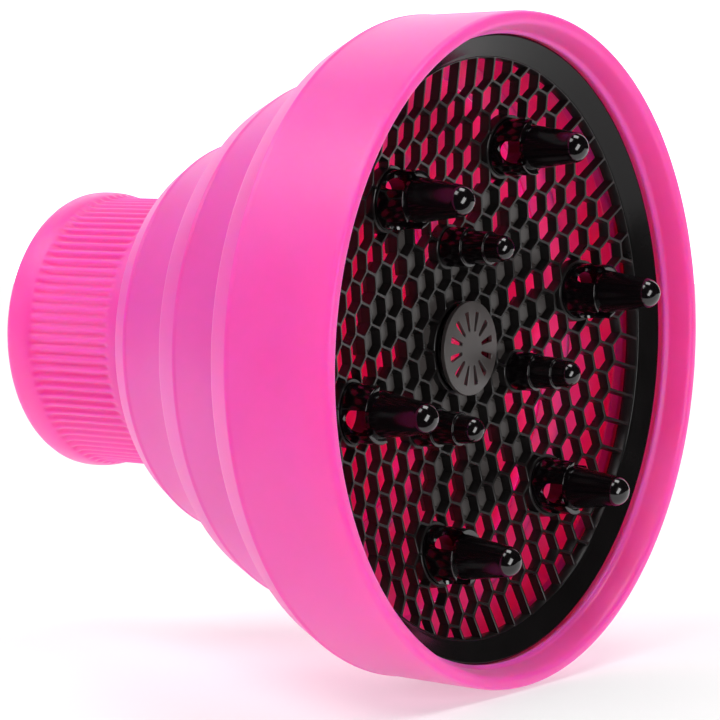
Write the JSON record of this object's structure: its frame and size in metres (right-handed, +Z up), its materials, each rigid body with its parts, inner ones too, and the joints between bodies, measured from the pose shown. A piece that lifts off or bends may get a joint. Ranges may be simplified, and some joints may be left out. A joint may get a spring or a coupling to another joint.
{
  "type": "dryer diffuser",
  "caption": "Collapsible silicone hair-dryer diffuser: a stepped pink bell on a ribbed neck, with a black dished grille of hexagonal cells and rounded fingers in its mouth.",
  "frame": {"origin": "centre of the neck's rear end face, on the bell's axis", "axes": "+X along the axis from the neck to the mouth, +Z up, +Y to the left of someone looking along +X"},
  "size_m": [0.1288, 0.1462, 0.1462],
  "materials": {
    "silicone": "satin",
    "black_plastic": "gloss"
  },
  "bodies": {
    "neck": {"neck_sleeve": "silicone", "fold_web_neck": "silicone"},
    "small_stage": {"step_ring_small": "silicone", "fold_web_middle": "silicone"},
    "large_stage": {"step_ring_large": "silicone", "fold_web_bell": "silicone"},
    "bell": {"bell_band": "silicone", "rim_ring": "black_plastic", "cell_plate": "black_plastic", "baffle_plate": "black_plastic", "centre_collar": "black_plastic", "centre_button": "black_plastic", "finger_large_1": "black_plastic", "finger_large_2": "black_plastic", "finger_large_3": "black_plastic", "finger_large_4": "black_plastic", "finger_large_5": "black_plastic", "finger_large_6": "black_plastic", "finger_small_1": "black_plastic", "finger_small_2": "black_plastic", "finger_small_3": "black_plastic"}
  },
  "joints": [
    {"name": "neck_fold", "type": "slide", "parent": "neck", "child": "small_stage", "axis": [-1, 0, 0], "range_m": [0, 0.019], "deforming": ["fold_web_neck"]},
    {"name": "middle_fold", "type": "slide", "parent": "small_stage", "child": "large_stage", "axis": [-1, 0, 0], "range_m": [0, 0.017], "deforming": ["fold_web_middle"]},
    {"name": "bell_fold", "type": "slide", "parent": "large_stage", "child": "bell", "axis": [-1, 0, 0], "range_m": [0, 0.014], "deforming": ["fold_web_bell"]}
  ]
}
